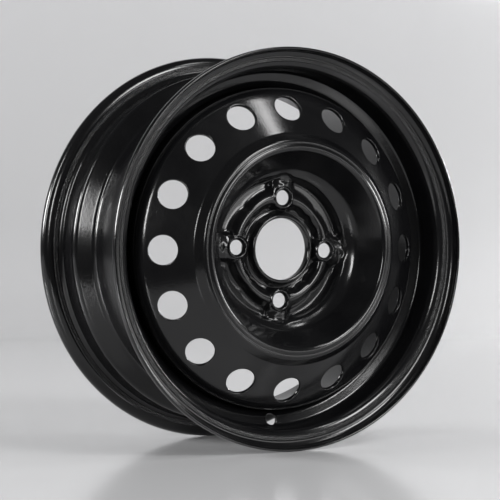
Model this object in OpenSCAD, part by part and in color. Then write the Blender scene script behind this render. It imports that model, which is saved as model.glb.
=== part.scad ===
/* [Rim] */
// Nominal diameter of the bead seats, 14 in
rim_d = 354.8; // [340:0.1:380]
// Width between the two flange walls, 5.5 in
rim_w = 139.7; // [134:0.1:152]
// Thickness of the rolled rim sheet
rim_t = 2.6; // [2:0.1:3.4]
// Height of the flanges above the bead seats
flange_h = 17.3; // [16:0.1:19]
// Reach of a flange from its wall out to its lip
flange_w = 13; // [12:0.1:14.5]
// Radius of the curl at the top of a flange, on the tyre side
curl_r = 9.5; // [9:0.1:10]
// Radius between a flange wall and its bead seat, on the tyre side
heel_r = 6.5; // [5:0.1:7.5]
// Width of a bead seat, from the flange wall to the hump
seat_w = 19.8; // [19:0.1:21]
// Slope of a bead seat down towards the middle, in degrees
seat_a = 5; // [4:0.25:6]
// Slope of the hump that keeps a bead on its seat, in degrees
hump_a = 15; // [10:1:18]
// Width of a hump, from the bead seat to the wall of the well
hump_w = 8; // [7.5:0.1:9]
// Radius where a hump turns down into the well, on the tyre side
brow_r = 7.3; // [6:0.1:7.6]
// Radius where a wall of the well meets its floor, on the tyre side
foot_r = 8; // [6:0.5:9]
// Depth of the well below the bead seats
well_d = 17.3; // [16:0.1:19]
// Distance from the rim's middle to the front wall of the well
well_front = 36; // [32:0.5:38]
// Distance from the rim's middle to the rear wall of the well
well_rear = 30; // [24:0.5:36]
// Diameter of the valve hole
valve_d = 11.5; // [11.3:0.1:12.5]
// Distance of the valve hole's centre up the front wall of the well
valve_up = 8; // [7:0.1:10]
// Place of the valve hole around the wheel, in degrees from the right-hand side
valve_a = 268.7; // [0:0.1:360]

/* [Disc] */
// Thickness of the pressed disc sheet
disc_t = 3.5; // [2.8:0.1:4]
// Gap between the disc's flange and the well that it is pressed into
disc_fit = 0.1; // [0.05:0.05:0.3]
// Length of the disc's flange, back from its shoulder
flange_l = 48; // [40:0.5:52]
// Radius of the shoulder where the flange turns into the face
shoulder_r = 14; // [10:0.5:15]
// Slope of the outer face that carries the vents, in degrees
face_a = 32.4; // [31:0.1:34]
// Height of the vent circle ahead of the rim's middle
vent_h = 66.2; // [64:0.1:69]
// Radius at which the face steps up to the crown
step_r = 112; // [110:0.5:115]
// Slope of the step below the crown, in degrees
step_a = 50; // [46:0.5:55]
// Radius of the thin outer bead on the crown
bead_r = 104.6; // [104:0.1:106]
// Radius of the crown, the most forward ring of the disc
crown_r = 96.6; // [96:0.1:98]
// Width of the groove between the bead and the crown
groove_w = 3.2; // [3:0.1:3.6]
// Depth of the groove below the bead
groove_d = 0.4; // [0.3:0.05:0.6]
// Slope from the groove up to the crown, in degrees
crown_a = 32; // [28:1:36]
// Radius of the ledge at the foot of the bowl
ledge_r = 71; // [70:0.1:72]
// Height of the ledge ahead of the hub face
ledge_h = 15; // [14:0.5:17]
// Slope of the bowl's wall below the crown, in degrees
wall_a = 60; // [58:0.5:62]
// Slope of the bowl's floor, in degrees
floor_a = 30; // [28:0.5:33]
// Radius between the bowl's wall and its floor
bowl_r = 25; // [20:1:27]

/* [Vents] */
// Number of vent holes
vent_n = 16; // [8:1:18]
// Diameter of a vent hole
vent_d = 28; // [20:0.5:29]
// Radius of the circle that the vent holes lie on
vent_r = 136.6; // [134:0.1:138]
// Place of the first vent hole around the wheel, in degrees
vent_a = 112.3; // [0:0.1:360]
// Width of the edge broken round each vent hole
vent_edge = 1; // [0.2:0.1:1.5]

/* [Hub] */
// Distance of the hub face from the rim's middle, towards the front
hub_offset = 43; // [40:0.5:46]
// Diameter of the centre bore
bore_d = 60.1; // [56:0.1:62]
// Height of the collar round the bore above the hub face
collar_h = 12.3; // [12:0.1:14]
// Radius at the root of the collar
collar_root = 4.8; // [4:0.1:5]
// Height of the raised ring between the hub pads
land_h = 9; // [8:0.1:9.5]
// Inner radius of the raised ring, at its top
land_in = 46; // [45.5:0.1:47]
// Outer radius of the raised ring, at its top
land_out = 52.5; // [52:0.1:53]
// Slope of the raised ring towards the bore, in degrees
land_in_a = 62; // [60:1:66]
// Slope of the raised ring towards the bowl, in degrees
land_out_a = 55; // [53:0.5:60]
// Slope of the wall between the outer hub pad and the ledge, in degrees
pad_wall_a = 72; // [68:0.5:76]
// Half width of the bridge that runs out from each bolt hole to the ledge
bridge_w = 11.4; // [11.2:0.1:12]
// Slope of a bridge's sides, in degrees
bridge_a = 65; // [62:1:70]

/* [Bolt holes] */
// Number of bolt holes
bolt_n = 4; // [3:1:5]
// Diameter of the bolt circle
bolt_pcd = 100; // [98:0.1:102]
// Place of the first bolt hole around the wheel, in degrees
bolt_a = 357.7; // [0:0.1:360]
// Diameter of a bolt hole
bolt_d = 14.4; // [13:0.1:15]
// Outer diameter of a bolt's conical seat
seat_d = 18; // [17:0.1:18.3]
// Full angle of a bolt's conical seat, in degrees
seat_cone = 60; // [60:1:90]
// Height of the raised boss round a bolt hole
boss_h = 1.3; // [1:0.1:2]
// Width of the boss's slope
boss_w = 1; // [0.6:0.1:1.1]
// Flat rim left round a bolt's seat
boss_rim = 0.8; // [0.5:0.1:0.9]
// Radius kept clear for a wheel brace round each bolt
brace_r = 21.5; // [21:0.1:22]
// Widening of the wheel brace's room towards the front, as a share of its depth
brace_flare = 0.33; // [0.25:0.01:0.4]

/* [Weld] */
// Number of fillet welds that join the disc to the rim
weld_n = 8; // [4:1:10]
// Length of a weld around the wheel, in degrees
weld_arc = 24; // [15:1:30]
// Leg of a weld along the rim
weld_leg = 4.5; // [3:0.1:6]
// Leg of a weld across the edge of the disc
weld_foot = 2.8; // [2:0.1:3.2]
// Bulge of a weld's face beyond its straight fillet
weld_bulge = 0.7; // [0.3:0.1:1]

/* [Hidden] */

$fn = 96;
PAINT = [0.05, 0.05, 0.055];
WELD_PAINT = [0.09, 0.09, 0.095];

// Largest distance between a bend and its chords
BEND_TOLERANCE = 0.02;
// Length that a cut runs past the face it opens
PAST = 1;
// Overlap of a rolled edge with its sheet, as a share of its size
OVERLAP = 0.001;

// Inside radii of the disc's bends
STEP_BEND = 6;
BEAD_BEND = 1;
GROOVE_BEND = 1.5;
CROWN_BEND = 1;
LEDGE_BEND = 1;
PAD_BEND = 2.5;
LAND_FOOT_BEND = 6;
LAND_TOP_BEND = 1;
LAND_EDGE_BEND = 1.5;
INNER_PAD_BEND = 2;

// Heights are measured from the rim's middle towards the front, radii from the axle

seat_r = rim_d / 2;
well_r = seat_r - well_d;
wall_h = rim_w / 2;
toe_r = seat_r - seat_w * tan(seat_a);
toe_h = wall_h - seat_w;
brow_h = toe_h - hump_w;
brow_top = toe_r + hump_w * tan(hump_a);
curl_start = seat_r + flange_h - curl_r;
lip_a = 90 + asin((flange_w - curl_r - rim_t / 2) / (curl_r - rim_t / 2));

rim_bore = well_r - rim_t;
skirt_r = rim_bore - disc_fit;
shoulder_h = vent_h - (skirt_r - vent_r) * tan(face_a);
skirt_h = shoulder_h - flange_l;
pad_h = hub_offset + disc_t;
plain_h = pad_h + land_h;
ledge_top = hub_offset + ledge_h;
collar_r = bore_d / 2 + disc_t;
bolt_r = bolt_pcd / 2;

function unit(v) = v / norm(v);
function left_of(v) = [-v[1], v[0]];
function toward(a) = [cos(a), sin(a)];
function place(corner) = [corner[0], corner[1]];
function heading(path, i) = unit(place(path[i + 1]) - place(path[i]));
function backwards(list) = [for (i = [len(list) - 1 : -1 : 0]) list[i]];

// Where the line through p at angle a meets the line through q at angle b
function meet(p, a, q, b) =
    p + toward(a) * ((q - p) * left_of(toward(b))) / (toward(a) * left_of(toward(b)));

// Points of the bend at corner i, on the face laid inset to the left of the path
function bend(path, i, inset, gauge) =
    let (
        before = heading(path, i - 1),
        after = heading(path, i),
        side = sign(before[0] * after[1] - before[1] * after[0]),
        turn = acos(before * after),
        radius = path[i][2] + max(side, 0) * gauge,
        start = place(path[i]) - before * radius * tan(turn / 2),
        centre = start + left_of(before) * side * radius,
        first = atan2(start[1] - centre[1], start[0] - centre[0]),
        steps = ceil(turn / 2 / acos(1 - BEND_TOLERANCE / radius))
    )
    [for (k = [0 : steps]) centre + toward(first + side * turn * k / steps) * (radius - side * inset)];

// One face of a sheet bent along a path, laid inset to its left.
// Each corner is [radius, height, inside radius of the bend].
function sheet_face(path, inset, gauge) =
    let (last = len(path) - 1)
    concat(
        [place(path[0]) + left_of(heading(path, 0)) * inset],
        [for (i = [1 : last - 1]) each bend(path, i, inset, gauge)],
        [place(path[last]) + left_of(heading(path, last - 1)) * inset]
    );

// Section of a sheet of one gauge, laid to the left of its path
module bent_sheet(path, gauge) {
    polygon(concat(sheet_face(path, 0, gauge), backwards(sheet_face(path, gauge, gauge))));
}

// Rounded edge of a sheet, past the end of its path
module rolled_edge(path, gauge) {
    last = len(path) - 1;
    along = heading(path, last - 1);
    translate(place(path[last]) + left_of(along) * gauge / 2) circle(gauge / 2 * (1 - OVERLAP));
}

// Wheel axis laid along Y, with the front of the wheel towards -Y
module on_axle() {
    rotate([90, 0, 0]) children();
}

// Tyre side of the rim from the middle of the well out to the lip of one flange
function rim_path(foot) = let (curl_reach = curl_r * tan(lip_a / 2)) [
    [well_r, 0, 0],
    [well_r, foot, foot_r],
    [brow_top, brow_h, brow_r - rim_t],
    [toe_r, toe_h, hump_w / 2],
    [seat_r, wall_h, heel_r],
    [curl_start + curl_reach, wall_h, curl_r - rim_t],
    concat([curl_start + curl_reach, wall_h] + toward(lip_a) * curl_reach * (1 + OVERLAP), [0])
];

module rim_side(foot) {
    bent_sheet(rim_path(foot), rim_t);
    rolled_edge(rim_path(foot), rim_t);
}

// Hole through the front wall of the well, square to the wall
module valve_hole() {
    lean = atan2(brow_h - well_front, brow_top - well_r);
    rotate([0, 0, valve_a])
        translate([well_r, 0, well_front])
            rotate([0, -lean, 0])
                translate([valve_up, 0, 0])
                    cylinder(d = valve_d, h = 6 * rim_t, center = true);
}

module rim() {
    color(PAINT)
        on_axle()
            difference() {
                rotate_extrude() {
                    rim_side(well_front);
                    mirror([0, 1]) rim_side(well_rear);
                }
                valve_hole();
            }
}

// Front of the disc from the back of its flange in to the collar round the bore
step_top = meet([vent_r, vent_h], 180 - face_a, [step_r, 0], 90);
bead_top = meet(step_top, 180 - step_a, [bead_r, 0], 90);
groove = bead_top - [groove_w, groove_d];
crown_top = meet(groove, 180 - crown_a, [crown_r, 0], 90);
bowl_foot = meet(crown_top, 180 + wall_a, [ledge_r, ledge_top], 180 + floor_a);
pad_edge = meet([ledge_r, ledge_top], 180 + pad_wall_a, [0, pad_h], 0);
land_foot_out = meet([land_out, plain_h], -land_out_a, [0, pad_h], 0);
land_foot_in = meet([land_in, plain_h], 180 + land_in_a, [0, pad_h], 0);

// Bend between the bowl's wall and its floor, as large as the floor has room for
ledge_room = (LEDGE_BEND + disc_t) * tan((pad_wall_a - floor_a) / 2);
floor_room = norm(bowl_foot - [ledge_r, ledge_top]) - ledge_room;
bowl_bend = min(bowl_r, floor_room / tan((wall_a - floor_a) / 2));

disc_path = [
    [skirt_r, skirt_h, 0],
    [skirt_r, shoulder_h, shoulder_r - disc_t],
    concat(step_top, [STEP_BEND]),
    concat(bead_top, [BEAD_BEND]),
    concat(groove, [GROOVE_BEND]),
    concat(crown_top, [CROWN_BEND]),
    concat(bowl_foot, [bowl_bend]),
    [ledge_r, ledge_top, LEDGE_BEND],
    concat(pad_edge, [PAD_BEND]),
    concat(land_foot_out, [LAND_FOOT_BEND]),
    [land_out, plain_h, LAND_TOP_BEND],
    [land_in, plain_h, LAND_EDGE_BEND],
    concat(land_foot_in, [INNER_PAD_BEND]),
    [collar_r, pad_h, collar_root],
    [collar_r, hub_offset + collar_h, 0]
];

// Round a copy for every hole of a circle
module around(count, first) {
    for (i = [0 : count - 1]) rotate([0, 0, first + 360 / count * i]) children();
}

// Bar along a radius with sloping sides, its top at height top
module bar(half, from, to, bottom, top, slope) {
    spread = (top - bottom) / tan(slope);
    translate([from, 0, 0])
        rotate([90, 0, 90])
            linear_extrude(height = to - from)
                polygon([[-half - spread, bottom], [half + spread, bottom], [half, top], [-half, top]]);
}

// Mound round a bolt hole, its top at height top
module mound(top_r, bottom, top, slope) {
    translate([bolt_r, 0, bottom])
        cylinder(r1 = top_r + (top - bottom) / tan(slope), r2 = top_r, h = top - bottom);
}

// What the press raises: a mound under each bolt hole and a bridge from it to the ledge
module raised() {
    around(bolt_n, bolt_a) {
        mound(bridge_w, hub_offset + disc_t / 2, plain_h, bridge_a);
        bar(bridge_w, bolt_r, ledge_r - PAST, hub_offset + disc_t / 2, plain_h, bridge_a);
    }
}

// Hollow behind the mounds and bridges, one gauge below their tops
module hollow() {
    inner_w = bridge_w - disc_t * tan(bridge_a / 2);
    around(bolt_n, bolt_a) {
        mound(inner_w, hub_offset - PAST, plain_h - disc_t, bridge_a);
        bar(inner_w, bolt_r, pad_edge[0] - disc_t / 2, hub_offset - PAST, plain_h - disc_t, bridge_a);
    }
}

// Cone round a bolt, widening towards the front as a wheel brace's room does
module brace_cone(radius, bottom, top) {
    translate([bolt_r, 0, bottom])
        cylinder(r1 = radius, r2 = radius + brace_flare * (top - bottom), h = top - bottom);
}

// Backing that the ledge keeps behind the room for a wheel brace
module brace_backing() {
    around(bolt_n, bolt_a)
        intersection() {
            brace_cone(brace_r + disc_t, plain_h - disc_t, ledge_top - PAST);
            translate([pad_edge[0] - PAST, -brace_r, 0]) cube([brace_r, 2 * brace_r, 2 * ledge_top]);
        }
}

// Room for a wheel brace round a bolt, down to the top of its bridge, on the side of the ledge
module brace_room() {
    around(bolt_n, bolt_a)
        intersection() {
            brace_cone(brace_r, plain_h, plain_h + brace_r);
            translate([bolt_r, -2 * brace_r, 0]) cube([2 * brace_r, 4 * brace_r, 4 * ledge_top]);
        }
}

// Raised rims of the bolt seats, their slopes carried on into the mounds
module bosses() {
    top_r = seat_d / 2 + boss_rim;
    around(bolt_n, bolt_a)
        translate([bolt_r, 0, plain_h - PAST])
            cylinder(r1 = top_r + boss_w / boss_h * (boss_h + PAST), r2 = top_r, h = boss_h + PAST);
}

// Bolt hole with its conical seat, opened from the front
module bolt_holes() {
    depth = (seat_d - bolt_d) / 2 / tan(seat_cone / 2);
    around(bolt_n, bolt_a)
        translate([bolt_r, 0, plain_h + boss_h]) {
            translate([0, 0, -depth]) cylinder(d1 = bolt_d, d2 = seat_d, h = depth);
            translate([0, 0, -3 * disc_t]) cylinder(d = bolt_d, h = 3 * disc_t);
            cylinder(d = seat_d, h = PAST);
        }
}

// Vent holes pierced square to the sloping face, with a broken front edge
module vents() {
    around(vent_n, vent_a)
        translate([vent_r, 0, vent_h])
            rotate([0, face_a, 0]) {
                cylinder(d = vent_d, h = 4 * disc_t, center = true);
                translate([0, 0, -vent_edge])
                    cylinder(d1 = vent_d, d2 = vent_d + 4 * vent_edge, h = 2 * vent_edge);
            }
}

// Plain pressing, its seam turned to lie between two vents
module pressing() {
    rotate([0, 0, vent_a + 180 / vent_n])
        rotate_extrude() {
            bent_sheet(disc_path, disc_t);
            rolled_edge(disc_path, disc_t);
        }
}

// Pressing with its hub zone formed, before the holes
module formed() {
    difference() {
        union() {
            union() {
                pressing();
                raised();
            }
            brace_backing();
        }
        hollow();
        brace_room();
    }
}

module disc() {
    color(PAINT)
        on_axle()
            difference() {
                union() {
                    formed();
                    bosses();
                }
                bolt_holes();
                vents();
            }
}

// Fillet welds between the back of the disc's flange and the inside of the rim
module weld_beads() {
    weld_face_mid = [rim_bore - weld_foot / 2, skirt_h - weld_leg / 2] - [weld_bulge, weld_bulge];
    color(WELD_PAINT)
        on_axle()
            around(weld_n, vent_a + 180 / vent_n)
                rotate([0, 0, -weld_arc / 2])
                    rotate_extrude(angle = weld_arc)
                        polygon([
                            [rim_bore, skirt_h],
                            [skirt_r - weld_foot, skirt_h],
                            weld_face_mid,
                            [rim_bore, skirt_h - weld_leg]
                        ]);
}

rim();
disc();
weld_beads();
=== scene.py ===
import math
from functools import partial

import bmesh
import bpy
import numpy as np
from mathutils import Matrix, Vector


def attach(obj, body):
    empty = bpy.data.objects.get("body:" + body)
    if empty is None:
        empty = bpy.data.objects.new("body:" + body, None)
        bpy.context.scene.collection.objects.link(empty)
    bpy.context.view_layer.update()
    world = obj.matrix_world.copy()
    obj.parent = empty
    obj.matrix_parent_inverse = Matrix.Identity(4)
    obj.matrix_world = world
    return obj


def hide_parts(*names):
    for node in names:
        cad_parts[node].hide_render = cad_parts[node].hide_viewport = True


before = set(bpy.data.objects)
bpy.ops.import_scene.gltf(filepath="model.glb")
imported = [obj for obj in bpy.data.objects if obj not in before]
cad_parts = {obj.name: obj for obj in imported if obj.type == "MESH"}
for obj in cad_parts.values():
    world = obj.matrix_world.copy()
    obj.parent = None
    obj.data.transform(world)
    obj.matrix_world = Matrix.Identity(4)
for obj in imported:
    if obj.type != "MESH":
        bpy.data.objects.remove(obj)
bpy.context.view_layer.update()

# The axle lies along Y, and the front of the wheel looks to -Y. Objects are in metres.
# The sheets are worked out in millimetres and scaled when their meshes are made.

scene = bpy.context.scene

MM = 0.001
VIEW_YAW = math.radians(-30.519)


# Paint

PAINT_DARK = (0.004, 0.004, 0.0045, 1.0)
PAINT_LIGHT = (0.006, 0.006, 0.0065, 1.0)
GLOSSIEST, DULLEST = 0.13, 0.18
SPECK_SIZE = 0.06
# Radii between which the marks of the rolls fade in and out on the flanges, in metres
MARKS_IN = (0.1806, 0.1814)
MARKS_OUT = (0.1846, 0.1854)
# How fine those marks are, per radian around the wheel and per metre along its radius
MARKS_AROUND, MARKS_ACROSS = 170.0, 500.0


class Shader:
    """Builds one node material with short calls."""

    def __init__(self, name):
        self.material = bpy.data.materials.new(name)
        self.material.use_nodes = True
        self.tree = self.material.node_tree
        self.tree.nodes.clear()
        self.output = self.tree.nodes.new("ShaderNodeOutputMaterial")

    def node(self, kind, sockets=None, **settings):
        """Adds a node. Each of sockets is filled with a number, a colour or another node's output."""
        made = self.tree.nodes.new("ShaderNode" + kind)
        for key, value in settings.items():
            setattr(made, key, value)
        for key, value in (sockets or {}).items():
            if isinstance(value, bpy.types.NodeSocket):
                self.tree.links.new(value, made.inputs[key])
            else:
                made.inputs[key].default_value = value
        return made

    def times(self, a, b):
        return self.node("Math", {0: a, 1: b}, operation="MULTIPLY").outputs[0]

    def ramp(self, source, low, high, to_low, to_high):
        made = self.node("MapRange", {"Value": source, "From Min": low, "From Max": high,
                                      "To Min": to_low, "To Max": to_high})
        made.clamp = True
        return made.outputs["Result"]

    def finish(self, surface):
        self.tree.links.new(surface.outputs["BSDF"], self.output.inputs["Surface"])
        return self.material


def black_paint():
    """Stoved black enamel on pressed steel: fine orange peel, uneven gloss, specks of dust in the
    paint, and the marks that the rolls left round the flanges."""
    s = Shader("black_paint_finish")
    where = s.node("TexCoord").outputs["Object"]
    peel = s.node("TexNoise", {"Vector": where, "Scale": 420.0, "Detail": 3.0, "Roughness": 0.55})
    patches = s.node("TexNoise", {"Vector": where, "Scale": 22.0, "Detail": 5.0, "Roughness": 0.6})
    specks = s.node("TexVoronoi", {"Vector": where, "Scale": 95.0})

    axes = s.node("SeparateXYZ", {"Vector": where})
    across = s.node("VectorMath", {0: where, 1: (1.0, 0.0, 1.0)}, operation="MULTIPLY")
    radius = s.node("VectorMath", {0: across.outputs[0]}, operation="LENGTH").outputs["Value"]
    turn = s.node("Math", {0: axes.outputs["Z"], 1: axes.outputs["X"]}, operation="ARCTAN2").outputs[0]
    marks_at = s.node("CombineXYZ", {"X": s.times(turn, MARKS_AROUND), "Y": s.times(radius, MARKS_ACROSS)})
    marks = s.node("TexNoise", {"Vector": marks_at.outputs[0], "Scale": 1.0, "Detail": 2.0,
                                "Roughness": 0.6})
    band = s.times(s.ramp(radius, *MARKS_IN, 0.0, 1.0), s.ramp(radius, *MARKS_OUT, 1.0, 0.0))
    rolled = s.times(marks.outputs["Fac"], band)

    bump = s.node("Bump", {"Height": peel.outputs["Fac"], "Strength": 0.12, "Distance": 0.0004})
    dust = s.ramp(specks.outputs["Distance"], 0.0, SPECK_SIZE, 1.0, 0.0)
    dusty = s.node("Bump", {"Height": dust, "Strength": 0.35, "Distance": 0.0002,
                            "Normal": bump.outputs["Normal"]})
    rolled_bump = s.node("Bump", {"Height": rolled, "Strength": 1.0, "Distance": 0.0012,
                                  "Normal": dusty.outputs["Normal"]})

    rough = s.ramp(patches.outputs["Fac"], 0.3, 0.7, GLOSSIEST, DULLEST)
    shade = s.ramp(patches.outputs["Fac"], 0.35, 0.65, 0.0, 1.0)
    tint = s.node("Mix", {"Factor": shade, "A": PAINT_DARK, "B": PAINT_LIGHT}, data_type="RGBA")
    return s.finish(s.node("BsdfPrincipled", {"Base Color": tint.outputs["Result"], "Roughness": rough,
                                              "Normal": rolled_bump.outputs["Normal"]}))


paint = black_paint()
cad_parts["weld_beads"].data.materials[0] = paint


# Sections. A section is a list of [radius, height], with height measured from the rim's middle
# towards the front, as in the part's source.

# Largest turn between two points of a bend, in degrees
ARC_STEP = 7.0
# Distance from each end of a straight run at which it has a point, and the most between its points
HOLD, LONGEST = 0.4, 9.0
# Points closer than this are one
CLOSEST = 0.02
# Steps of the half circle that closes a sheet's edge
EDGE_STEPS = 8


def toward(angle):
    return np.array([math.cos(math.radians(angle)), math.sin(math.radians(angle))])


def meet(p, a, q, b):
    """Where the line through p at angle a meets the line through q at angle b."""
    u, v = toward(a), toward(b)
    across = np.array([-v[1], v[0]])
    return np.asarray(p, float) + u * (np.dot(np.subtract(q, p), across) / np.dot(u, across))


def smooth(x, low, high):
    """Eases from 0 at low to 1 at high."""
    t = np.clip((x - low) / (high - low), 0, 1)
    return t * t * (3 - 2 * t)


def straight_shares(length):
    """Where a straight run has points, as shares of its length. Its far end is left out."""
    if length < 3 * HOLD:
        return [0]
    middle = max(1, math.ceil((length - 2 * HOLD) / LONGEST))
    ends = HOLD / length
    return [0] + [ends + (1 - 2 * ends) * k / middle for k in range(middle + 1)]


def sheet_faces(path, gauge):
    """Both faces of a sheet bent along a path of [radius, height, inside radius of the bend].
    The first follows the path and the second lies one gauge to its left, point for point."""
    corners = [np.array(p[:2], float) for p in path]
    first, second = [], []

    def stretch(a, b, normal):
        for share in straight_shares(np.linalg.norm(b - a)):
            first.append(a + (b - a) * share)
            second.append(first[-1] + normal * gauge)

    here = corners[0]
    for i in range(1, len(path)):
        ahead = corners[i] - corners[i - 1]
        ahead /= np.linalg.norm(ahead)
        normal = np.array([-ahead[1], ahead[0]])
        if i == len(path) - 1:
            stretch(here, corners[i], normal)
            first.append(corners[i])
            second.append(corners[i] + normal * gauge)
            break
        after = corners[i + 1] - corners[i]
        after /= np.linalg.norm(after)
        side = math.copysign(1.0, ahead[0] * after[1] - ahead[1] * after[0])
        turn = math.acos(np.clip(np.dot(ahead, after), -1, 1))
        radius = path[i][2] + max(side, 0.0) * gauge
        start = corners[i] - ahead * radius * math.tan(turn / 2)
        stretch(here, start, normal)
        centre = start + normal * side * radius
        phase = math.atan2(start[1] - centre[1], start[0] - centre[0])
        steps = max(3, math.ceil(math.degrees(turn) / ARC_STEP))
        for k in range(steps):
            a = phase + side * turn * k / steps
            out = np.array([math.cos(a), math.sin(a)])
            first.append(centre + out * radius)
            second.append(centre + out * (radius - side * gauge))
        here = corners[i] + after * radius * math.tan(turn / 2)
    first, second = np.array(first), np.array(second)
    apart = np.maximum(*(np.linalg.norm(np.diff(face, axis=0), axis=1) for face in (first, second)))
    kept = np.concatenate([[True], apart > CLOSEST])
    return first[kept], second[kept]


def rolled_edge(a, b, ahead):
    """Points of the half circle that closes a sheet's edge from a to b, its ends left out."""
    centre, half = (a + b) / 2, (a - b) / 2
    ahead = ahead / np.linalg.norm(ahead) * np.linalg.norm(half)
    turns = [math.pi * k / EDGE_STEPS for k in range(1, EDGE_STEPS)]
    return np.array([centre + half * math.cos(t) + ahead * math.sin(t) for t in turns])


# Sheets. Each is a grid of points: its section goes down the rows, and the columns go round the axle.

COLUMNS = 320
FIRST_COLUMN = math.radians(112.3)
ANGLES = FIRST_COLUMN + np.arange(COLUMNS) * 2 * math.pi / COLUMNS
# Steps of the rounded edge of a hole
ROUNDING_STEPS = 3


def border(grid):
    """The outermost entries of a grid, in order round it."""
    return np.concatenate([grid[0, :-1], grid[:-1, -1], grid[-1, :0:-1], grid[:0:-1, 0]])


class Sheet:
    """Mesh of one formed sheet, whose points lie at radii r and heights h over the angles."""

    def __init__(self, name, r, h):
        self.name = name
        self.count, self.points, self.faces = 0, [], []
        r, angle, h = np.broadcast_arrays(r, ANGLES[None], h)
        self.xyz = np.stack([r * np.cos(angle), -h, r * np.sin(angle)], -1)
        self.grid = self.add(self.xyz)
        self.keep = np.ones(self.grid.shape, bool)

    def add(self, xyz):
        """Keeps an array of points and returns their numbers, in the same layout."""
        ids = np.arange(self.count, self.count + xyz[..., 0].size).reshape(xyz.shape[:-1])
        self.count += ids.size
        self.points.append(xyz.reshape(-1, 3))
        return ids

    def skin(self, grid):
        """Four-sided faces between the rows of point numbers, each row a closed ring."""
        a = np.concatenate([grid, grid[:, :1]], 1)
        return np.stack([a[:-1, :-1], a[:-1, 1:], a[1:, 1:], a[1:, :-1]], -1)

    def cover(self, rows):
        self.faces += self.skin(np.stack(rows)).reshape(-1, 4).tolist()

    def stitch(self, a, bearing_a, b, bearing_b):
        """Triangles between two closed rings of point numbers, both sorted by bearing."""
        i = j = 0
        while i < len(a) or j < len(b):
            next_a = bearing_a[i + 1] if i + 1 < len(a) else bearing_a[0] + 2 * math.pi
            next_b = bearing_b[j + 1] if j + 1 < len(b) else bearing_b[0] + 2 * math.pi
            here_a, here_b = a[i % len(a)], b[j % len(b)]
            if j >= len(b) or (i < len(a) and next_a <= next_b):
                self.faces.append([here_a, here_b, a[(i + 1) % len(a)]])
                i += 1
            else:
                self.faces.append([here_a, here_b, b[(j + 1) % len(b)]])
                j += 1

    def cut(self, hole, faces):
        """Cuts a hole through both faces. Each of faces gives the rows of the block that is meshed
        anew, the surface there, the radius of the hole's rounded edge, and the way in."""
        middle = round((hole.spot - FIRST_COLUMN) / (2 * math.pi) * COLUMNS)
        across = np.arange(middle - hole.columns, middle + hole.columns + 1) % COLUMNS
        inner = []
        for rows, surface, edge, sink in faces:
            for row in range(min(rows), max(rows)):
                self.keep[row, across[:-1]] = False
            inner.append(hole.pierce(self, np.ix_(rows, across), surface, edge, sink))
        self.cover(inner)

    def build(self, material):
        closed = np.concatenate([self.grid, self.grid[:1]])
        faces = self.faces + self.skin(closed)[self.keep].tolist()
        mesh = bpy.data.meshes.new(self.name)
        mesh.from_pydata((np.concatenate(self.points) * MM).tolist(), [], faces)
        made = bmesh.new()
        made.from_mesh(mesh)
        bmesh.ops.delete(made, geom=[v for v in made.verts if not v.link_faces], context="VERTS")
        bmesh.ops.recalc_face_normals(made, faces=made.faces)
        made.to_mesh(mesh)
        made.free()
        mesh.polygons.foreach_set("use_smooth", np.ones(len(mesh.polygons), bool))
        mesh.materials.append(material)
        piece = bpy.data.objects.new(self.name, mesh)
        scene.collection.objects.link(piece)
        return piece


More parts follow.
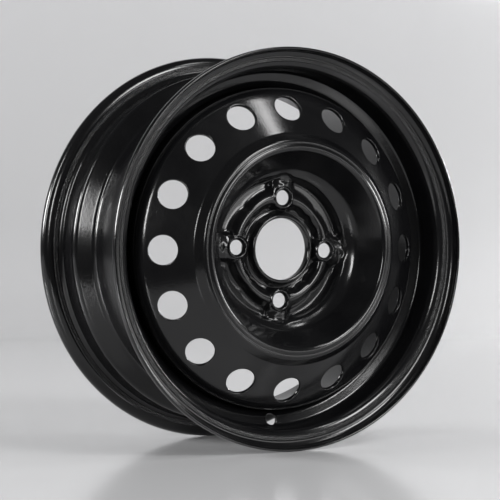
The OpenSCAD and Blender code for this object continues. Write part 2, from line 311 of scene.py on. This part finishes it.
class Hole:
    """Round hole at spot around the axle. Its plane passes through centre, a point of the section,
    and rises along slope. Places in that plane are u across the radius and v along the slope.
    It is meshed in a block that reaches columns to each side, by rings of points at shares of the
    way in from the block's edge."""

    def __init__(self, spot, centre, slope, radius, points, columns, shares):
        self.spot, self.centre, self.slope = spot, np.array(centre, float), np.array(slope, float)
        self.radius, self.columns, self.shares = radius, columns, shares
        self.out = np.array([-self.slope[1], self.slope[0]])
        self.bearings = (np.arange(points) + 0.5) * 2 * math.pi / points - math.pi
        self.around = np.stack([np.cos(self.bearings), np.sin(self.bearings)], -1)

    def rise(self, x, h):
        """Place v of a point of the section."""
        return (x - self.centre[0]) * self.slope[0] + (h - self.centre[1]) * self.slope[1]

    def place(self, xyz):
        x = xyz[..., 0] * math.cos(self.spot) + xyz[..., 2] * math.sin(self.spot)
        u = xyz[..., 2] * math.cos(self.spot) - xyz[..., 0] * math.sin(self.spot)
        return u, self.rise(x, -xyz[..., 1])

    def wheel(self, x, u, h):
        c, s = math.cos(self.spot), math.sin(self.spot)
        return np.stack([x * c - u * s, -h, x * s + u * c], -1)

    def on_section(self, section, u, v):
        """The x and height of a turned section at places u, v."""
        x, h = np.empty(len(u)), np.empty(len(u))
        for k in range(len(u)):
            cut = np.sqrt(np.maximum(section[:, 0] ** 2 - u[k] ** 2, 1e-9))
            along = self.rise(cut, section[:, 1])
            order = np.argsort(along)
            x[k] = np.interp(v[k], along[order], cut[order])
            h[k] = np.interp(v[k], along[order], section[order, 1])
        return x, h

    def ring(self, sheet, surface, reach, depth=0.0):
        """Ring of points on a surface, at reach from the hole's middle and sunk by depth."""
        u, v = (self.around * np.reshape(reach, (-1, 1))).T
        x, h = surface(u, v)
        return sheet.add(self.wheel(x + depth * self.out[0], u, h + depth * self.out[1]))

    def pierce(self, sheet, block, surface, edge, sink):
        """Meshes one face of a sheet from the edge of a block in to the hole, whose edge is rounded
        by a radius of edge. Returns the innermost ring."""
        u, v = (border(part) for part in self.place(sheet.xyz[block]))
        bearing = np.arctan2(v, u)
        order = np.argsort(bearing)
        loop, bearing = border(sheet.grid[block])[order], bearing[order]
        start = np.interp(self.bearings, bearing, np.hypot(u, v)[order], period=2 * math.pi)
        end = self.radius + edge
        rows = [self.ring(sheet, surface, start + (end - start) * share) for share in (*self.shares, 1.0)]
        for step in range(1, ROUNDING_STEPS + 1):
            t = math.pi / 2 * step / ROUNDING_STEPS
            reach = self.radius + edge * (1 - math.sin(t))
            rows.append(self.ring(sheet, surface, reach, edge * (1 - math.cos(t)) * sink))
        sheet.stitch(loop, bearing, rows[0], self.bearings)
        sheet.cover(rows)
        return rows[-1]


# Rim, with the same sizes as in the part's source

RIM_T = 2.6
SEAT_R, WALL_H = 177.4, 69.85
FLANGE_H, FLANGE_W = 17.3, 13
CURL_R, HEEL_R = 9.5, 6.5
TOE, TOE_BEND = (175.668, 50.05), 4
BROW, BROW_BEND = (177.811, 42.05), 4.7
WELL_R, WELL_FRONT, WELL_REAR, FOOT_R = 160.1, 36.0, 30.0, 8
VALVE_ANGLE, VALVE_UP, VALVE_R = math.radians(268.7), 8.0, 5.75
VALVE_POINTS, VALVE_COLUMNS, VALVE_SHARES = 40, 4, (0.4, 0.8)
# Radius of the valve hole's edge on the side of the opening and on the side of the tyre
VALVE_EDGE_OPEN, VALVE_EDGE_TYRE = 0.4, 0.3
# Reach of the block meshed round the valve hole, and of the wall that the hole is cut in
VALVE_BLOCK, VALVE_WALL = 9.6, 16
# Most that a point of that wall lies off the hole's plane, and its least height
VALVE_OFF_PLANE, VALVE_LEAST_H = 6, 20


def rim_path(foot):
    """Tyre side of the rim from the middle of the well out to the lip of one flange."""
    start = SEAT_R + FLANGE_H - CURL_R
    lip = 90 + math.degrees(math.asin((FLANGE_W - CURL_R - RIM_T / 2) / (CURL_R - RIM_T / 2)))
    reach = CURL_R * math.tan(math.radians(lip / 2))
    end = np.array([start + reach, WALL_H]) + toward(lip) * reach
    return [(WELL_R, 0, 0), (WELL_R, foot, FOOT_R), (*BROW, BROW_BEND), (*TOE, TOE_BEND),
            (SEAT_R, WALL_H, HEEL_R), (start + reach, WALL_H, CURL_R - RIM_T), (*end, 0)]


def rim_hoop(material):
    """The rim's sheet: drop well, humps, seats and rolled flanges, with the valve hole."""
    tyre_front, open_front = sheet_faces(rim_path(WELL_FRONT), RIM_T)
    tyre_rear, open_rear = sheet_faces(rim_path(WELL_REAR), RIM_T)
    flip = np.array([1, -1])
    tyre = np.concatenate([(tyre_rear * flip)[:0:-1], tyre_front])
    opening = np.concatenate([(open_rear * flip)[:0:-1], open_front])
    front_edge = rolled_edge(tyre[-1], opening[-1], tyre[-1] - tyre[-2])
    rear_edge = rolled_edge(opening[0], tyre[0], tyre[0] - tyre[1])
    loop = np.concatenate([tyre, front_edge, opening[::-1], rear_edge])
    last_open = len(tyre) + len(front_edge) + len(opening) - 1
    sheet = Sheet("rim_hoop", loop[:, :1], loop[:, 1:])

    lean = math.atan2(BROW[1] - WELL_FRONT, BROW[0] - WELL_R)
    slope = np.array([math.cos(lean), math.sin(lean)])
    middle = np.array([WELL_R, WELL_FRONT]) + slope * VALVE_UP
    valve = Hole(VALVE_ANGLE, middle, slope, VALVE_R, VALVE_POINTS, VALVE_COLUMNS, VALVE_SHARES)

    def face(section, first, way, edge, sink):
        v = (section - middle) @ slope
        off_plane = np.abs((section - middle) @ valve.out)
        on_wall = (off_plane < VALVE_OFF_PLANE) & (section[:, 1] > VALVE_LEAST_H)
        near = np.nonzero(on_wall & (np.abs(v) < VALVE_BLOCK))[0]
        wall = section[np.nonzero(on_wall & (np.abs(v) < VALVE_WALL))[0]]
        rows = [first + way * k for k in range(near[0], near[-1] + 1)]
        return rows, partial(valve.on_section, wall), edge, sink

    sheet.cut(valve, [face(opening, last_open, -1, VALVE_EDGE_OPEN, -1),
                      face(tyre, 0, 1, VALVE_EDGE_TYRE, 1)])
    return sheet.build(material)


# Disc, with the same sizes as in the part's source

DISC_T = 3.5
SKIRT_R, FLANGE_L, SHOULDER_BEND = 157.4, 48, 10.5
FACE_A, STEP_R, STEP_A, STEP_BEND = 32.4, 112, 50, 6
BEAD_R, BEAD_BEND = 104.6, 1
GROOVE_W, GROOVE_D, GROOVE_BEND = 3.2, 0.4, 1.5
CROWN_R, CROWN_A, CROWN_BEND = 96.6, 32, 1
WALL_A, FLOOR_A, BOWL_BEND = 60, 30, 25
LEDGE_R, LEDGE_TOP, LEDGE_BEND = 71.0, 58.0, 1
PAD_H, PAD_WALL_A, PAD_BEND, INNER_PAD_BEND = 46.5, 72, 2.5, 2
PLAIN_H, LAND_FOOT_BEND, LAND_TOP_BEND, LAND_EDGE_BEND = 55.5, 6, 1, 1.5
LAND_OUT, LAND_OUT_A, LAND_IN, LAND_IN_A = 52.5, 55, 46.0, 62
COLLAR_R, COLLAR_ROOT, COLLAR_TOP = 33.55, 4.8, 55.3

VENT_R, VENT_H, VENT_HOLE_R, VENTS = 136.6, 66.2, 14.0, 16
VENT_POINTS, VENT_COLUMNS, VENT_SHARES = 56, 10, (0.35, 0.7, 0.95)
VENT_EDGE_FRONT, VENT_EDGE_BACK = 0.9, 0.4
# Reach of the block meshed round a vent, in and out along the face, and most that the face lies off
# the vent's plane there
VENT_BLOCK_IN, VENT_BLOCK_OUT, VENT_OFF_PLANE = 22.0, 17.0, 2
# Points of the section past each end of the block that the face is read from as well
VENT_SPARE_OUT, VENT_SPARE_IN = 8, 6

BOLT_R, FIRST_BOLT, BOLTS, BOLT_HOLE_R = 50.0, math.radians(357.7), 4, 7.2
BOLT_POINTS, BOLT_COLUMNS, BOLT_SHARES = 64, 12, np.linspace(0.08, 0.95, 11)
BOLT_EDGE_FRONT, BOLT_EDGE_BACK = 0.15, 0.3
BOLT_BLOCK = 11.5
# Bolt seat: radius and slope of the cone, height of the boss, radii of its top and foot
SEAT_R_OUT, SEAT_A, BOSS_H, BOSS_TOP_R, BOSS_FOOT_R = 9.0, 60, 1.3, 9.6, 11.4
# How much the top of the boss is rounded, in square millimetres
SEAT_ROUNDING = 0.03
BRIDGE_W, BRIDGE_SLOPE, BRIDGE_ROUNDING = 11.4, math.tan(math.radians(65)), 3.0
HOLLOW_W = BRIDGE_W - 2.23
BRACE_R, BRACE_SLOPE, BRACE_ROUNDING = 21.5, 2.2, 4.0
# Radius past which the room for a wheel brace is cut, and a height that cuts nothing inside it
BRACE_FROM, NO_POCKET = BOLT_R - 8, 40.0
# Gauge at the edge of a bolt hole, the share of the sheet's gauge that it gains, and between which radii
SEAT_GAUGE, GAUGE_GAIN, THIN_R, THICK_R = 0.4, 0.86, 7.0, 11.0

# Hub zone: radii between which a face is a height over the plane, and its rows there
HUB_OUT, HUB_IN, HUB_ROWS_FRONT, HUB_ROWS_BACK = 79.6, 38.4, 56, 30
# Least gap to the rows outside it, and how far its profile is known past it
GAP_OUT, GAP_IN, PAST_OUT, PAST_IN = 0.3, 0.05, 8, 1.5
# Press marks, in millimetres, and in degrees from the nearest bolt
NICK_DEPTH, NICK_AT, NICK_WIDTH = 0.9, 45, 3.2
WIDENING, WIDENED_FROM = 2.2, 18
WAVES = [(0.45, 8), (0.35, 20)]
OUTER_SLOPE_R, INNER_SLOPE_R, SLOPE_WIDTH = 56, 41, 5.0
CROWNING, CROWNED_FROM, CROWNED_TO = 3.4, 53, 62
# Dents: depth, then place and width along the radius, and place and width across it
DENTS = [(0.9, 66.5, 2.2, 0.0, 4.5), (0.54, 62.0, 1.6, 3.5, 2.0)]


def disc_path():
    """Front of the disc from the back of its flange in to the collar round the bore."""
    shoulder_h = VENT_H - (SKIRT_R - VENT_R) * math.tan(math.radians(FACE_A))
    step_top = meet((VENT_R, VENT_H), 180 - FACE_A, (STEP_R, 0), 90)
    bead_top = meet(step_top, 180 - STEP_A, (BEAD_R, 0), 90)
    groove = bead_top - [GROOVE_W, GROOVE_D]
    crown = meet(groove, 180 - CROWN_A, (CROWN_R, 0), 90)
    bowl = meet(crown, 180 + WALL_A, (LEDGE_R, LEDGE_TOP), 180 + FLOOR_A)
    pad_edge = meet((LEDGE_R, LEDGE_TOP), 180 + PAD_WALL_A, (0, PAD_H), 0)
    foot_out = meet((LAND_OUT, PLAIN_H), -LAND_OUT_A, (0, PAD_H), 0)
    foot_in = meet((LAND_IN, PLAIN_H), 180 + LAND_IN_A, (0, PAD_H), 0)
    return [(SKIRT_R, shoulder_h - FLANGE_L, 0), (SKIRT_R, shoulder_h, SHOULDER_BEND),
            (*step_top, STEP_BEND), (*bead_top, BEAD_BEND), (*groove, GROOVE_BEND),
            (*crown, CROWN_BEND), (*bowl, BOWL_BEND), (LEDGE_R, LEDGE_TOP, LEDGE_BEND),
            (*pad_edge, PAD_BEND), (*foot_out, LAND_FOOT_BEND), (LAND_OUT, PLAIN_H, LAND_TOP_BEND),
            (LAND_IN, PLAIN_H, LAND_EDGE_BEND), (*foot_in, INNER_PAD_BEND),
            (COLLAR_R, PAD_H, COLLAR_ROOT), (COLLAR_R, COLLAR_TOP, 0)]


def bell(distance, width):
    """1 at no distance, falling to almost nothing at twice the width."""
    return np.exp(-(distance / width) ** 2)


def blend_least(a, b, sharp=2.5):
    """Smooth lesser of two heights that aren't negative. It is nought wherever either is."""
    a, b = np.maximum(a, 1e-6), np.maximum(b, 1e-6)
    return a * b / (a ** sharp + b ** sharp) ** (1 / sharp)


def soft_rise(x, size):
    """Nought below 0 and x above it, with the turn rounded over size."""
    return (x + np.sqrt(x * x + size * size) - size * np.exp(-np.abs(x) / size)) / 2


def hub_height(x, y, profile, top, half):
    """Height of one face of the hub zone, x along the radius of the nearest bolt and y across it.
    profile is the plain section. The mounds and bridges stand at height top, half wide to each side."""
    r, turn = np.hypot(x, y), np.arctan2(y, x)
    aside = np.abs(np.degrees(turn))
    nick = NICK_DEPTH * bell(aside - NICK_AT, NICK_WIDTH)
    wave = sum(size * np.cos(count * turn) for size, count in WAVES)
    widened = WIDENING * smooth(aside, WIDENED_FROM, NICK_AT)
    outer = (widened + nick) * bell(r - OUTER_SLOPE_R, SLOPE_WIDTH)
    inner = (wave - nick) * bell(r - INNER_SLOPE_R, SLOPE_WIDTH)
    flat = np.interp(-(r + outer + inner), -profile[:, 0], profile[:, 1])

    from_bolt = np.hypot(x - BOLT_R, y)
    off_bridge = np.where(x < BOLT_R, from_bolt, np.abs(y)) - half
    crowned = CROWNING * smooth(x, CROWNED_FROM, CROWNED_TO) * (np.abs(y) / half) ** 2
    drop = blend_least(top - flat, soft_rise(off_bridge * BRIDGE_SLOPE, BRIDGE_ROUNDING) + crowned)
    brace_room = soft_rise((from_bolt - BRACE_R) * BRACE_SLOPE, BRACE_ROUNDING)
    rise = blend_least(flat - top, np.where(x > BRACE_FROM, brace_room, NO_POCKET))
    dents = sum(depth * bell(x - along, long) * bell(y - across, wide)
                for depth, along, long, across, wide in DENTS)
    return top - dents - np.where(flat < top, drop, 0) + np.where(flat > top, rise, 0)


def disc_pressing(material):
    """The disc's sheet: flange, vented face, crown, bowl, hub zone and collar, with its holes."""
    front, back = sheet_faces(disc_path(), DISC_T)
    sector = 2 * math.pi / BOLTS
    from_bolt_line = (ANGLES - FIRST_BOLT + sector / 2) % sector - sector / 2
    wide = np.ones((1, COLUMNS))

    def zone(section):
        """Rows of a face outside the hub zone, and the zone's profile and the rows within it."""
        r = section[:, 0]
        inward = np.arange(len(section)) > np.argmax(section[:, 1])
        outer = section[~(inward & (r < HUB_OUT + GAP_OUT))]
        profile = section[inward & (r > HUB_IN - PAST_IN) & (r < HUB_OUT + PAST_OUT)]
        return outer, profile, section[inward & (r < HUB_IN - GAP_IN)]

    out_f, profile_f, in_f = zone(front)
    out_b, profile_b, in_b = zone(back)

    def front_height(x, y):
        from_bolt = np.hypot(x - BOLT_R, y)
        boss = BOSS_H * smooth(from_bolt, BOSS_FOOT_R, BOSS_TOP_R)
        high = hub_height(x, y, profile_f, PLAIN_H, BRIDGE_W) + boss
        cone = PLAIN_H + BOSS_H - (SEAT_R_OUT - from_bolt) * math.tan(math.radians(SEAT_A))
        return (high + cone) / 2 - np.sqrt(((high - cone) / 2) ** 2 + SEAT_ROUNDING)

    def back_height(x, y):
        low = hub_height(x, y, profile_b, PLAIN_H - DISC_T, HOLLOW_W)
        gauge = GAUGE_GAIN * DISC_T * smooth(np.hypot(x - BOLT_R, y), THIN_R, THICK_R) + SEAT_GAUGE
        return np.minimum(low, hub_height(x, y, profile_f, PLAIN_H, BRIDGE_W) - gauge)

    def face_rows(outer, inner, count, height):
        r = np.linspace(HUB_OUT, HUB_IN, count)
        x, y = r[:, None] * np.cos(from_bolt_line)[None], r[:, None] * np.sin(from_bolt_line)[None]
        return (np.concatenate([outer[:, 0], r, inner[:, 0]]),
                np.concatenate([outer[:, 1:] * wide, height(x, y), inner[:, 1:] * wide]))

    r_f, h_f = face_rows(out_f, in_f, HUB_ROWS_FRONT, front_height)
    r_b, h_b = face_rows(out_b, in_b, HUB_ROWS_BACK, back_height)
    edge = rolled_edge(front[-1], back[-1], front[-1] - front[-2])
    r = np.concatenate([r_f, edge[:, 0], r_b[::-1]])
    h = np.concatenate([h_f, edge[:, 1:] * wide, h_b[::-1]])
    last = len(r) - 1
    sheet = Sheet("disc_pressing", r[:, None], h)

    down = toward(-FACE_A)
    for i in range(VENTS):
        spot = FIRST_COLUMN + 2 * math.pi / VENTS * i
        vent = Hole(spot, (VENT_R, VENT_H), down, VENT_HOLE_R, VENT_POINTS, VENT_COLUMNS, VENT_SHARES)
        v = (front - vent.centre) @ down
        on_face = np.abs((front - vent.centre) @ vent.out) < VENT_OFF_PLANE
        near = np.nonzero(on_face & (v > -VENT_BLOCK_IN) & (v < VENT_BLOCK_OUT))[0]
        known = slice(max(near[0] - VENT_SPARE_OUT, 0), near[-1] + VENT_SPARE_IN)
        block = np.arange(near[0], near[-1] + 1)
        sheet.cut(vent, [(block, partial(vent.on_section, front[known]), VENT_EDGE_FRONT, -1),
                         (last - block, partial(vent.on_section, back[known]), VENT_EDGE_BACK, 1)])

    def bolt_block(radii, outer):
        near = (np.abs(radii - BOLT_R) < BOLT_BLOCK) & (radii > HUB_IN - GAP_IN)
        return np.array([k for k in np.nonzero(near)[0] if k >= len(outer)])

    def on_hub(height, u, v):
        return BOLT_R + v, height(BOLT_R + v, u)

    for i in range(BOLTS):
        spot = FIRST_BOLT + 2 * math.pi / BOLTS * i
        bolt = Hole(spot, (BOLT_R, 0), (1, 0), BOLT_HOLE_R, BOLT_POINTS, BOLT_COLUMNS, BOLT_SHARES)
        sheet.cut(bolt, [(bolt_block(r_f, out_f), partial(on_hub, front_height), BOLT_EDGE_FRONT, -1),
                         (last - bolt_block(r_b, out_b), partial(on_hub, back_height), BOLT_EDGE_BACK, 1)])
    return sheet.build(material)


for node, piece in (("rim", rim_hoop(paint)), ("disc", disc_pressing(paint))):
    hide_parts(node)
    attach(piece, "root")


# Stage, in metres. The floor ends a little in front of the wheel.

FLOOR_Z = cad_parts["rim"].bound_box[0][2]
FLOOR_FRONT, FLOOR_BACK, HALF_WIDTH = -0.62, 1.6, 5.0
CURVE_R, CURVE_STEPS, BACKDROP_TOP = 0.8, 16, 2.5
FLOOR_COLOUR, FLOOR_ROUGHNESS = (0.69, 0.69, 0.70, 1.0), 0.15


def sweep():
    """Pale floor that curves up into the backdrop behind the wheel."""
    path = [(FLOOR_FRONT, 0.0)]
    for k in range(CURVE_STEPS + 1):
        a = math.pi / 2 * k / CURVE_STEPS
        path.append((FLOOR_BACK + CURVE_R * math.sin(a), CURVE_R * (1 - math.cos(a))))
    path.append((FLOOR_BACK + CURVE_R, BACKDROP_TOP))
    along = Vector((-math.sin(VIEW_YAW), math.cos(VIEW_YAW), 0))
    side = Vector((math.cos(VIEW_YAW), math.sin(VIEW_YAW), 0))
    verts = [along * distance + side * end + Vector((0, 0, FLOOR_Z + height))
             for distance, height in path for end in (-HALF_WIDTH, HALF_WIDTH)]
    faces = [(2 * i, 2 * i + 1, 2 * i + 3, 2 * i + 2) for i in range(len(path) - 1)]
    mesh = bpy.data.meshes.new("studio_sweep")
    mesh.from_pydata(verts, [], faces)
    mesh.polygons.foreach_set("use_smooth", np.ones(len(faces), bool))
    s = Shader("studio_floor")
    surface = s.node("BsdfPrincipled", {"Base Color": FLOOR_COLOUR, "Roughness": FLOOR_ROUGHNESS})
    mesh.materials.append(s.finish(surface))
    made = bpy.data.objects.new("studio_sweep", mesh)
    scene.collection.objects.link(made)


sweep()


# Light

ROOM_COLOUR, ROOM_STRENGTH = (0.5, 0.5, 0.5, 1), 0.12
PALE_COLOUR = (0.62, 0.62, 0.62, 1)
LAMP_DISTANCE = 2.6

# Name, azimuth from the front towards +X, elevation, width and height in degrees, radiance
SOFTBOXES = [
    ("key_high", 14, 38, 18, 16, 16.0),
    ("key_low", 18, 11, 12, 16, 10.0),
    ("front_strip", -50, 16, 7, 18, 22.0),
    ("left_strip", -101, 24, 5, 30, 20.0),
    ("rear_left", -125, 14, 13, 15, 30.0),
    ("right_strip", 78, 13, 12, 15, 20.0),
    ("right_side", 99, 5, 6, 9, 26.0),
    ("right_low", 40, 4, 40, 9, 2.8),
    ("overhead", 37, 57, 6, 7, 14.0),
    ("rear_right", 124, 4, 12, 12, 55.0),
]


def studio_world():
    """Dim room for the light and the reflections, and a pale one for what the camera sees."""
    world = bpy.data.worlds.new("studio")
    world.use_nodes = True
    nodes, links = world.node_tree.nodes, world.node_tree.links
    nodes.clear()
    room = nodes.new("ShaderNodeBackground")
    room.inputs["Color"].default_value = ROOM_COLOUR
    room.inputs["Strength"].default_value = ROOM_STRENGTH
    pale = nodes.new("ShaderNodeBackground")
    pale.inputs["Color"].default_value = PALE_COLOUR
    choose = nodes.new("ShaderNodeMixShader")
    links.new(nodes.new("ShaderNodeLightPath").outputs["Is Camera Ray"], choose.inputs["Fac"])
    links.new(room.outputs[0], choose.inputs[1])
    links.new(pale.outputs[0], choose.inputs[2])
    links.new(choose.outputs[0], nodes.new("ShaderNodeOutputWorld").inputs["Surface"])
    return world


def softbox(name, azimuth, elevation, wide, high, radiance):
    """Rectangular lamp seen from the wheel at azimuth and elevation, wide by high degrees."""
    turn, rise = math.radians(azimuth), math.radians(elevation)
    away = Vector((math.sin(turn) * math.cos(rise), -math.cos(turn) * math.cos(rise), math.sin(rise)))
    lamp = bpy.data.lights.new(name, "AREA")
    lamp.shape = "RECTANGLE"
    lamp.size = 2 * LAMP_DISTANCE * math.tan(math.radians(wide / 2))
    lamp.size_y = 2 * LAMP_DISTANCE * math.tan(math.radians(high / 2))
    lamp.energy = radiance * math.pi * lamp.size * lamp.size_y
    made = bpy.data.objects.new(name, lamp)
    made.location = away * LAMP_DISTANCE
    made.rotation_euler = away.to_track_quat("Z", "Y").to_euler()
    scene.collection.objects.link(made)


scene.world = studio_world()
for row in SOFTBOXES:
    softbox(*row)


# Camera

VIEW_PITCH = math.radians(1.0)
VIEW_DISTANCE = 1.9476
FOCAL_PX, FRAME_PX = 1953.07, 500
CENTRE_PX = (2.951, -1.869)
SENSOR_MM = 36

towards = Vector((math.sin(VIEW_YAW) * math.cos(VIEW_PITCH), -math.cos(VIEW_YAW) * math.cos(VIEW_PITCH),
                  math.sin(VIEW_PITCH)))
camera_data = bpy.data.cameras.new("camera")
camera_data.sensor_width = SENSOR_MM
camera_data.lens = SENSOR_MM * FOCAL_PX / FRAME_PX
camera_data.shift_x = -CENTRE_PX[0] / FRAME_PX
camera_data.shift_y = CENTRE_PX[1] / FRAME_PX
camera = bpy.data.objects.new("camera", camera_data)
camera.location = towards * VIEW_DISTANCE
camera.rotation_mode = "QUATERNION"
camera.rotation_quaternion = (-towards).to_track_quat("-Z", "Y")
scene.collection.objects.link(camera)
scene.camera = camera
scene.view_settings.view_transform = "Standard"
